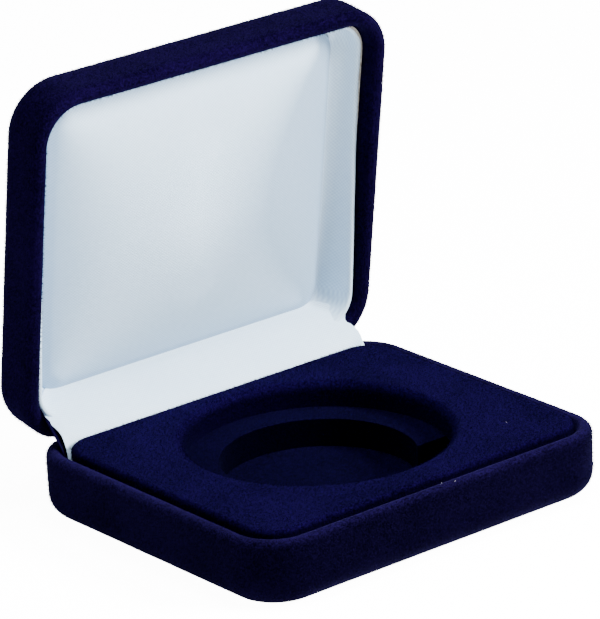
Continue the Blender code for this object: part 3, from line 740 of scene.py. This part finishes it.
def lid_pile(place, normal):
    """The same on the lid, measured in the shut lid's own frame."""
    own = LID_PLACE.inverted() @ place
    facing = (LID_PLACE.inverted().to_3x3() @ normal).z
    if (own.z > LID_HEIGHT - 0.2 * MM and facing < 0) or (own.z < CREST_BAND and facing < -CREST_FACING):
        return 0.0
    inside = max(abs(own.x) - (HALF_WIDTH - RIM), abs(own.y) - (HALF_DEPTH - RIM))
    if inside < 0.02 * MM and own.z > 1.5 * MM and facing < 0.5:
        return 0.0
    if facing > 0.9:
        return 0.22
    return 1.0 if own.z < RIM_BAND else THIN_PILE


def block_pile(place, normal):
    """On the block's top, its outer edge and the lip of the hole."""
    if place.z < INSERT_HIGH.z - 2.6 * MM or normal.z < -0.5:
        return 0.0
    return 1.0 if normal.z < 0.97 else 0.45


velvet_fibres = {"Fibres per square metre": 7.5e6, "Length": 0.42 * MM, "Thickness": 0.045 * MM,
                 "Lean": 0.55, "Finish": NAVY_VELVET}
flock_fibres = {"Fibres per square metre": 9e6, "Length": 0.36 * MM, "Thickness": 0.05 * MM,
                "Lean": 0.7, "Finish": NAVY_FLOCK}
base_fibres = grow_fibres("base_pile", base_cover, base_pile,
                          velvet_fibres | {"Seed": 11, "Finish": BASE_VELVET_PAINTED_LIGHT_AND_SHADE})
lid_fibres = grow_fibres("lid_pile", lid_cover, lid_pile, velvet_fibres | {"Seed": 12})
block_fibres = grow_fibres("block_pile", flocked_block, block_pile, flock_fibres | {"Seed": 13})


# Lid lining ---------------------------------------------------------------------

def store_cloth_map(piece, own_place):
    """A map in metres along the cloth, so that the weave keeps its pitch."""
    mesh = piece.data
    layer = mesh.uv_layers.new(name="cloth")
    flat = [own_place(vertex.co) for vertex in mesh.vertices]
    for loop in mesh.loops:
        layer.data[loop.index].uv = flat[loop.vertex_index]


def pad_limits():
    return (-HALF_WIDTH + PAD_SIDE_INSET, HALF_WIDTH - PAD_SIDE_INSET,
            -HALF_DEPTH + PAD_FAR_INSET, HALF_DEPTH - PAD_HINGE_INSET)


def corner_round(x, y, half_x, half_y, radius):
    """Move a point of a rectangle's grid so that its corners become round."""
    over_x = abs(x) - (half_x - radius)
    over_y = abs(y) - (half_y - radius)
    if over_x <= 0 or over_y <= 0:
        return x, y
    scale = max(over_x, over_y) / math.hypot(over_x, over_y)
    return (math.copysign(half_x - radius + over_x * scale, x),
            math.copysign(half_y - radius + over_y * scale, y))


def pad_face_rise(x, y, half_x, half_y):
    """Crown of the pad before it is puffed: four slopes that meet on soft diagonals."""
    from_side = half_x - abs(x)
    from_end = half_y - abs(y)
    reach = min(half_x, half_y)
    near = 1 / ((1 / max(from_side, 1e-6)) ** 6 + (1 / max(from_end, 1e-6)) ** 6) ** (1 / 6)
    share = min(near / reach, 1.0)
    slope = 1 - (1 - share) ** 1.3
    roll = smooth_step(near / (2.2 * MM))
    return PAD_EDGE_RISE * roll + PAD_CROWN * slope


def pad_body():
    """The pad as a closed body of even squares: back, short side, crowned face."""
    x0, x1, y0, y1 = pad_limits()
    half_x, half_y = (x1 - x0) / 2, (y1 - y0) / 2
    centre_y = (y0 + y1) / 2
    across = round(2 * half_x / PAD_CELL)
    along = round(2 * half_y / PAD_CELL)
    bm = bmesh.new()
    face, back = {}, {}
    for i in range(across + 1):
        for j in range(along + 1):
            x = -half_x + 2 * half_x * i / across
            y = -half_y + 2 * half_y * j / along
            rise = pad_face_rise(x, y, half_x, half_y)
            px, py = corner_round(x, y, half_x, half_y, PAD_CORNER_RADIUS)
            face[i, j] = bm.verts.new((px, centre_y + py, PAD_BACK - 0.5 * MM - rise))
            back[i, j] = bm.verts.new((px, centre_y + py, PAD_BACK))
    for layer in (face, back):
        for i in range(across):
            for j in range(along):
                bm.faces.new((layer[i, j], layer[i + 1, j], layer[i + 1, j + 1], layer[i, j + 1]))
    border = [(i, 0) for i in range(across)] + [(across, j) for j in range(along)]
    border += [(i, along) for i in range(across, 0, -1)] + [(0, j) for j in range(along, 0, -1)]
    for a, b in zip(border, border[1:] + border[:1]):
        bm.faces.new((face[a], face[b], back[b], back[a]))
    return piece_from("puffed_pad", bm, WHITE_SATIN)


def held_share(vertex, limits):
    """1 where the satin is glued down at the pad's edge and back, 0 on its face."""
    x0, x1, y0, y1 = limits
    near = min(vertex.co.x - x0, x1 - vertex.co.x, vertex.co.y - y0, y1 - vertex.co.y)
    if vertex.co.z > PAD_BACK - 0.6 * MM:
        return 1.0
    return 1.0 - smooth_step((near - 0.4 * MM) / (2.4 * MM))


def puff(piece):
    """Blow the satin up with cloth simulation at cushion scale, then bring it back."""
    mesh = piece.data
    limits = pad_limits()
    group = piece.vertex_groups.new(name="held")
    for vertex in mesh.vertices:
        group.add([vertex.index], held_share(vertex, limits), "REPLACE")
    rest = [vertex.co.copy() for vertex in mesh.vertices]
    mesh.transform(Matrix.Scale(SIM_SCALE, 4))
    cloth = piece.modifiers.new("puff", "CLOTH")
    cloth.settings.quality = 6
    cloth.settings.mass = 0.25
    cloth.settings.tension_stiffness = 12
    cloth.settings.compression_stiffness = 12
    cloth.settings.shear_stiffness = 4
    cloth.settings.bending_stiffness = 0.4
    cloth.settings.use_pressure = True
    cloth.settings.uniform_pressure_force = SIM_PRESSURE
    cloth.settings.vertex_group_mass = "held"
    cloth.settings.effector_weights.gravity = 0
    cloth.collision_settings.use_collision = False
    cloth.collision_settings.use_self_collision = False
    cloth.point_cache.frame_start = 1
    cloth.point_cache.frame_end = SIM_FRAMES
    for number in range(1, SIM_FRAMES + 1):
        bpy.context.scene.frame_set(number)
    dg = bpy.context.evaluated_depsgraph_get()
    puffed = [vertex.co / SIM_SCALE for vertex in piece.evaluated_get(dg).data.vertices]
    piece.modifiers.remove(cloth)
    bpy.context.scene.frame_set(1)
    for vertex, before, after in zip(mesh.vertices, rest, puffed):
        move = after - before
        if move.length > PUFF_LIMIT:
            move = move.normalized() * PUFF_LIMIT
        vertex.co = before + move
    piece.vertex_groups.clear()


def store_painted_slope_shade(mesh):
    """Painted shade: a greyer tone on the pad's slopes, darkest on the right, standing in for the shading of
    its facets, fixed to the satin whatever the light.
    """
    lean = mesh.attributes.new("lean", "FLOAT", "POINT")
    values = []
    for vertex in mesh.vertices:
        way = vertex.normal
        tilt = SLOPE_SHADE_LEFT * max(-way.x, 0.0) + SLOPE_SHADE_RIGHT * max(way.x, 0.0)
        tilt += SLOPE_SHADE_HINGE * max(way.y, 0.0)
        values.append(min(tilt, 1.0))
    lean.data.foreach_set("value", values)


def lid_pad():
    pad = pad_body()
    puff(pad)
    store_cloth_map(pad, lambda co: (co.x, co.y))
    pad.data.update()
    store_painted_slope_shade(pad.data)
    pad.data.transform(LID_PLACE)
    pad.data.update()
    soften(pad)
    return pad


def wall_stations():
    """Points and inward directions round the lid's inside, from one hinge corner to the other."""
    radius = CORNER_RADIUS
    centre_x, centre_y = HALF_WIDTH - radius, HALF_DEPTH - radius

    def corner(sign_x, sign_y, start, end, steps):
        turns = [math.radians(start + (end - start) * step / steps) for step in range(steps + 1)]
        return [((sign_x * centre_x + radius * math.cos(a), sign_y * centre_y + radius * math.sin(a)),
                 (-math.cos(a), -math.sin(a))) for a in turns]

    side = [centre_y - 2 * centre_y * step / 34 for step in range(1, 34)]
    front = [centre_x - 2 * centre_x * step / 40 for step in range(1, 40)]
    stations = corner(1, 1, WALL_ROUND_END, 0, 12)
    stations += [((HALF_WIDTH, y), (-1.0, 0.0)) for y in side]
    stations += corner(1, -1, 0, -90, 16)
    stations += [((x, -HALF_DEPTH), (0.0, 1.0)) for x in front]
    stations += corner(-1, -1, -90, -180, 16)
    stations += [((-HALF_WIDTH, y), (1.0, 0.0)) for y in reversed(side)]
    stations += corner(-1, 1, 180, 180 - WALL_ROUND_END, 12)
    return stations


def cloth_strip(name, rows, thickness, finish, place=None):
    """A thin cloth through rows of points, with its map measured along the cloth."""
    bm = bmesh.new()
    layer = bm.loops.layers.uv.new("cloth")
    verts = [[bm.verts.new(point) for point in row] for row in rows]
    down = [0.0]
    for a, b in zip(rows[len(rows) // 2], rows[len(rows) // 2][1:]):
        down.append(down[-1] + (Vector(b) - Vector(a)).length)
    run = [0.0]
    for a, b in zip(rows, rows[1:]):
        run.append(run[-1] + (Vector(b[0]) - Vector(a[0])).length)
    for i in range(len(rows) - 1):
        for j in range(len(down) - 1):
            face = bm.faces.new((verts[i][j], verts[i + 1][j], verts[i + 1][j + 1], verts[i][j + 1]))
            spots = ((i, j), (i + 1, j), (i + 1, j + 1), (i, j + 1))
            for loop, (a, b) in zip(face.loops, spots):
                loop[layer].uv = (run[a], down[b])
    if place is not None:
        bmesh.ops.transform(bm, matrix=place, verts=bm.verts)
    piece = mesh_piece(name, bm, finish)
    thicken(piece, thickness)
    soften(piece)
    return piece, (run[-1], down[-1])


def side_wall():
    """Satin side wall: up from the pad, over the card's free edge and down behind it."""
    rows = []
    for (x, y), inward in wall_stations():
        along = (HALF_DEPTH - y) / (2 * HALF_DEPTH)
        edge = (1.3 + 2.1 * smooth_step(along * 1.25)) * MM
        edge += 0.10 * MM * noise.noise(Vector((x, y, 3.0)) * 110)
        lean = 0.12 * MM * noise.noise(Vector((x, y, 9.0)) * 90)
        foot = WALL_FOOT_INSET - (PAD_SIDE_INSET - PAD_FAR_INSET) * max(inward[1], 0.0)
        slope = foot - 0.5 * MM - WALL_INSET
        section = [(foot + 1.6 * MM, PAD_BACK + 0.12 * MM), (foot, PAD_BACK + 0.05 * MM),
                   (foot - 0.5 * MM, PAD_BACK - 0.5 * MM),
                   (WALL_INSET + slope * 0.55 + lean, (PAD_BACK * 2 + edge) / 3),
                   (WALL_INSET + slope * 0.3 + lean, (PAD_BACK + edge * 2) / 3),
                   (WALL_INSET + 0.5 * MM, edge + 0.35 * MM), (WALL_INSET + 0.1 * MM, edge),
                   (WALL_INSET - 0.35 * MM, edge + 0.15 * MM), (WALL_INSET - 0.5 * MM, edge + 0.8 * MM),
                   (WALL_INSET - 0.5 * MM, edge + 3.8 * MM)]
        rows.append([(x + inward[0] * inset, y + inward[1] * inset, v) for inset, v in section])
    return cloth_strip("lid_side_wall", rows, SATIN, WHITE_SATIN, LID_PLACE)


def insert_back(x):
    """The insert's back edge at that place across, round its corners too."""
    over = abs(x) - (INSERT_HIGH.x - INSERT_CORNER_RADIUS)
    if over <= 0:
        return INSERT_HIGH.y
    return INSERT_HIGH.y - INSERT_CORNER_RADIUS + math.sqrt(max(INSERT_CORNER_RADIUS ** 2 - over ** 2, 0.0))


def lid_spot(x, from_axis, depth):
    """A point of the open lid, by its distance from the hinge axis along the lid and its depth."""
    return LID_PLACE @ Vector((x, AXIS_Y - from_axis, depth))


def flap_row(x):
    """One line of the hinge strip: behind the insert up to the pad, or to the side wall at the ends."""
    turn = smooth_step((abs(x) - STRIP_TURN_START) / (STRIP_HALF_WIDTH - STRIP_TURN_START))
    back = insert_back(x)
    top = INSERT_HIGH.z
    drift = 0.14 * MM * noise.noise(Vector((x, 0.0, 5.0)) * 110)
    edge = AXIS_Y - HALF_DEPTH + PAD_HINGE_INSET
    out = math.copysign(1.0, x)
    pad_edge = lid_spot(x, edge + 0.3 * MM, PAD_BACK - 1.2 * MM)
    middle = [(x, back + 0.9 * MM, top - STRIP_TUCK), (x, back + 0.85 * MM, top - 1.6 * MM),
              (x, back + 1.2 * MM, top - 0.3 * MM + drift), (x, back + 2.3 * MM, top + 0.75 * MM + drift),
              (x, (back + pad_edge.y) / 2 + 1.1 * MM, (top + pad_edge.z) / 2 + 0.75 * MM + drift),
              (x, pad_edge.y - 1.6 * MM, pad_edge.z - 0.15 * MM), tuple(pad_edge),
              tuple(lid_spot(x, edge + 1.6 * MM, PAD_BACK - 0.2 * MM))]
    end_x = abs(x)
    low = back + 0.9 * MM
    flare = 1.0 * MM if x > 0 else -0.9 * MM
    end = [(end_x, low, top - STRIP_TUCK), (end_x, low + 0.3 * MM, top - 1.8 * MM),
           (end_x - 0.3 * MM, low + 1.6 * MM, top - 0.1 * MM), (end_x + flare, 30.3 * MM, top + 0.6 * MM),
           tuple(lid_spot(end_x, 2.7 * MM, 0.9 * MM)), tuple(lid_spot(end_x + 0.2 * MM, 3.5 * MM, 1.5 * MM)),
           tuple(lid_spot(end_x + 0.5 * MM, 4.3 * MM, 2.2 * MM)),
           tuple(lid_spot(end_x + 0.9 * MM, 5.1 * MM, 3.0 * MM))]
    row = []
    for first, last, fold in zip(middle, end, (0.0, 0.0, 0.35, 1.0, 0.6, 0.0, 0.0, 0.0)):
        last = (out * last[0], last[1], last[2] + END_FOLD * fold)
        row.append(tuple(a + (b - a) * turn for a, b in zip(first, last)))
    return row


def hinge_strip():
    half = STRIP_HALF_WIDTH
    rows = [flap_row(-half + 2 * half * step / STRIP_STEPS) for step in range(STRIP_STEPS + 1)]
    return cloth_strip("hinge_strip", rows, SATIN, WHITE_SATIN)


def backing_row(x):
    """One line of the velvet behind the strip, from the base's inside over the hinge to the lid's."""
    inner = CORNER_RADIUS - RIM - 0.1 * MM
    over = max(abs(x) - (HALF_WIDTH - CORNER_RADIUS), 0.0)
    wall = HALF_DEPTH - CORNER_RADIUS + math.sqrt(max(inner ** 2 - over ** 2, 0.0))
    base_y = min(BACKING_Y, wall)
    from_axis = max(AXIS_Y - wall, BACKING_FROM_AXIS)
    top = BASE_HEIGHT
    lid_low = lid_spot(x, from_axis, 0.7 * MM)
    fold_y = (base_y + lid_low.y) / 2 + 0.35 * MM
    fold_z = (top + lid_low.z) / 2 - 0.55 * MM
    return [(x, base_y, top - 4.6 * MM), (x, base_y, top - 1.0 * MM), (x, base_y + 0.25 * MM, top - 0.1 * MM),
            (x, fold_y, fold_z), tuple(lid_low), tuple(lid_spot(x, from_axis, 2.8 * MM)),
            tuple(lid_spot(x, from_axis, 5.6 * MM))]


def hinge_backing():
    left = -HALF_WIDTH + RIM + BACKING_LEFT_GAP
    right = STRIP_HALF_WIDTH - BACKING_RIGHT_CUT
    steps = range(STRIP_STEPS + 1)
    rows = [backing_row(left + (right - left) * step / STRIP_STEPS) for step in steps]
    return cloth_strip("hinge_velvet", rows, SATIN, NAVY_VELVET)


puffed_pad = lid_pad()
side_wall_cloth, wall_size = side_wall()
hinge_cloth, strip_size = hinge_strip()
hinge_velvet, backing_size = hinge_backing()


# Snap spring --------------------------------------------------------------------

def snap_spring():
    """Bowed flat spring between the leaves, drawn in the open shape."""
    low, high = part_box("hinge_spring")
    leaf_low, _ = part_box("hinge_leaf_base")
    middle = leaf_low.y + LEAF / 2
    bend = SPRING_BEND
    lean = math.pi / 2 - OPEN_ANGLE
    from_axis = middle - AXIS_Y
    centre_y = from_axis + bend
    centre_z = (math.sin(lean) * centre_y - from_axis - bend) / math.cos(lean)
    start = low.z - AXIS_Z
    path = [(from_axis, start + (centre_z - start) * step / 6) for step in range(6)]
    for step in range(13):
        a = math.pi - OPEN_ANGLE * step / 12
        path.append((centre_y + bend * math.cos(a), centre_z + bend * math.sin(a)))
    last = path[-1]
    far = (high.y - AXIS_Y - last[0]) / math.cos(lean)
    path += [(last[0] + far * step / 6 * math.cos(lean), last[1] + far * step / 6 * math.sin(lean))
             for step in range(1, 7)]
    half_x = high.x
    bm = bmesh.new()
    rows = [[bm.verts.new((x, AXIS_Y + y, AXIS_Z + z)) for x in (-half_x, 0.0, half_x)] for y, z in path]
    for a, b in zip(rows, rows[1:]):
        for i in range(2):
            bm.faces.new((a[i], a[i + 1], b[i + 1], b[i]))
    piece = mesh_piece("snap_spring", bm, SPRING_STEEL)
    thicken(piece, SPRING_STRIP)
    return piece


spring = snap_spring()


# Lint ---------------------------------------------------------------------------

def lint():
    """A few white fibres that the pile has picked up."""
    hairs = (((0.4, -31.9, 12.3), 0.5, 20), ((2.9, -32.6, 12.1), 0.4, 100), ((-3.0, -33.45, 7.2), 0.7, 75),
             ((25.5, -20.5, 12.98), 0.4, 150))
    bm = bmesh.new()
    around = [2 * math.pi * k / HAIR_SIDES for k in range(HAIR_SIDES)]
    for number, (spot, length, turn) in enumerate(hairs):
        rings = []
        for step in range(HAIR_STEPS + 1):
            share = step / HAIR_STEPS
            bend = math.radians(turn + HAIR_CURL * share * (-1) ** number)
            way = Vector((math.cos(bend), math.sin(bend) * 0.4, 0.25))
            centre = Vector(spot) * MM + way * length * MM * share
            radius = HAIR_RADIUS * (1 - 0.7 * abs(2 * share - 1))
            spokes = [Vector((0, math.cos(a), math.sin(a))) for a in around]
            rings.append([bm.verts.new(centre + spoke * radius) for spoke in spokes])
        for a, b in zip(rings, rings[1:]):
            for k in range(HAIR_SIDES):
                other = (k + 1) % HAIR_SIDES
                bm.faces.new((a[k], a[other], b[other], b[k]))
        bm.faces.new(list(reversed(rings[0])))
        bm.faces.new(rings[-1])
    return piece_from("lint", bm, WHITE_LINT)


lint_fibres = lint()


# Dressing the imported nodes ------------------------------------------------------

def dress(names, finish):
    for name in names:
        node = frame["nodes"][name]
        node.data.materials.clear()
        node.data.materials.append(finish)


dress(("base_shell", "lid_shell", "hinge_leaf_base", "hinge_leaf_lid"), SHEET_STEEL)
dress(("hinge_pin", "base_rivet_left", "base_rivet_right", "lid_rivet_left", "lid_rivet_right"), SPRING_STEEL)
dress(("lid_pad_board", "lid_collar_card"), GREY_CARD)

for piece, body, replaced, slot in (
    (base_cover, "base", ("base_velvet",), "velvet"),
    (base_fibres, "base", (), "velvet"),
    (lid_cover, "lid", ("lid_velvet",), "velvet"),
    (lid_fibres, "lid", (), "velvet"),
    (flocked_block, "base", ("insert_upper",), "flock"),
    (block_fibres, "base", (), "flock"),
    (flocked_ledge, "base", ("insert_lower",), "flock"),
    (recess_board, "base", ("recess_floor",), "flock"),
    (lint_fibres, "base", (), None),
    (puffed_pad, "lid", ("lid_lining", "lid_wadding"), "satin"),
    (side_wall_cloth, "lid", ("lid_collar_satin",), "satin"),
):
    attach(piece, body)
    if replaced:
        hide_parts(*replaced)

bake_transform(hinge_cloth)
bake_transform(hinge_velvet)
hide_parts("hinge_flap")
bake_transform(spring)
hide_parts("hinge_spring")


# Studio -------------------------------------------------------------------------

def studio_floor():
    bm = bmesh.new()
    bmesh.ops.create_grid(bm, x_segments=8, y_segments=8, size=6.0)
    mesh = bpy.data.meshes.new("studio_floor")
    bm.to_mesh(mesh)
    bm.free()
    finish, tree, shader = new_finish("pale_floor")
    shade = noise_value(tree, object_place(tree), 3.0)
    tone = mix_colour(tree, shade, (0.90, 0.90, 0.90, 1.0), (0.93, 0.93, 0.93, 1.0))
    seen = add_node(tree, "ShaderNodeLightPath").outputs["Is Camera Ray"]
    set_inputs(tree, shader, {"Base Color": tone, "Roughness": 0.9, "Emission Color": tone,
                              "Emission Strength": math_node(tree, "MULTIPLY", seen, FLOOR_GLOW)})
    mesh.materials.append(finish)
    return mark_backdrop(add_object("studio_floor", mesh))


def soft_light(name, place, target, size, power, colour):
    light = bpy.data.lights.new(name, "AREA")
    light.shape = "DISK"
    light.size = size
    light.energy = power
    light.color = colour
    lamp = bpy.data.objects.new(name, light)
    lamp.location = place
    lamp.rotation_euler = (Vector(target) - Vector(place)).to_track_quat("-Z", "Y").to_euler()
    bpy.context.scene.collection.objects.link(lamp)
    return lamp


def surroundings():
    """A pale room: dim for the light it gives, bright where it is seen directly."""
    world = bpy.data.worlds.new("studio")
    world.use_nodes = True
    tree = world.node_tree
    sky = tree.nodes["Background"]
    sky.inputs["Color"].default_value = (0.93, 0.97, 1.0, 1.0)
    seen = add_node(tree, "ShaderNodeLightPath").outputs["Is Camera Ray"]
    tree.links.new(ramp(tree, seen, 0.0, 1.0, ROOM_LIGHT, ROOM_GLOW), sky.inputs["Strength"])
    bpy.context.scene.world = world


def main_camera():
    """Long lens, from the front left and a little above."""
    camera = bpy.data.cameras.new("camera")
    camera.sensor_width = 36.0
    camera.lens = 281.846
    camera.clip_start = 0.05
    camera.clip_end = 50.0
    holder = bpy.data.objects.new("camera", camera)
    holder.location = (-0.488085, -0.609308, 0.325603)
    holder.rotation_euler = (1.214787, 0.045694, -0.689599)
    bpy.context.scene.collection.objects.link(holder)
    bpy.context.scene.camera = holder


studio_floor()
soft_light("key", (0.42, -0.56, 0.46), (0.0, 0.02, 0.04), 0.30, 24.0, (1.0, 1.0, 1.0))
soft_light("overhead", (0.05, -0.12, 0.75), (0.0, 0.0, 0.03), 0.30, 9.0, (0.88, 0.94, 1.0))
soft_light("left_fill", (-0.60, 0.05, 0.30), (0.0, 0.0, 0.03), 0.30, 2.5, (0.95, 0.98, 1.0))
surroundings()
main_camera()
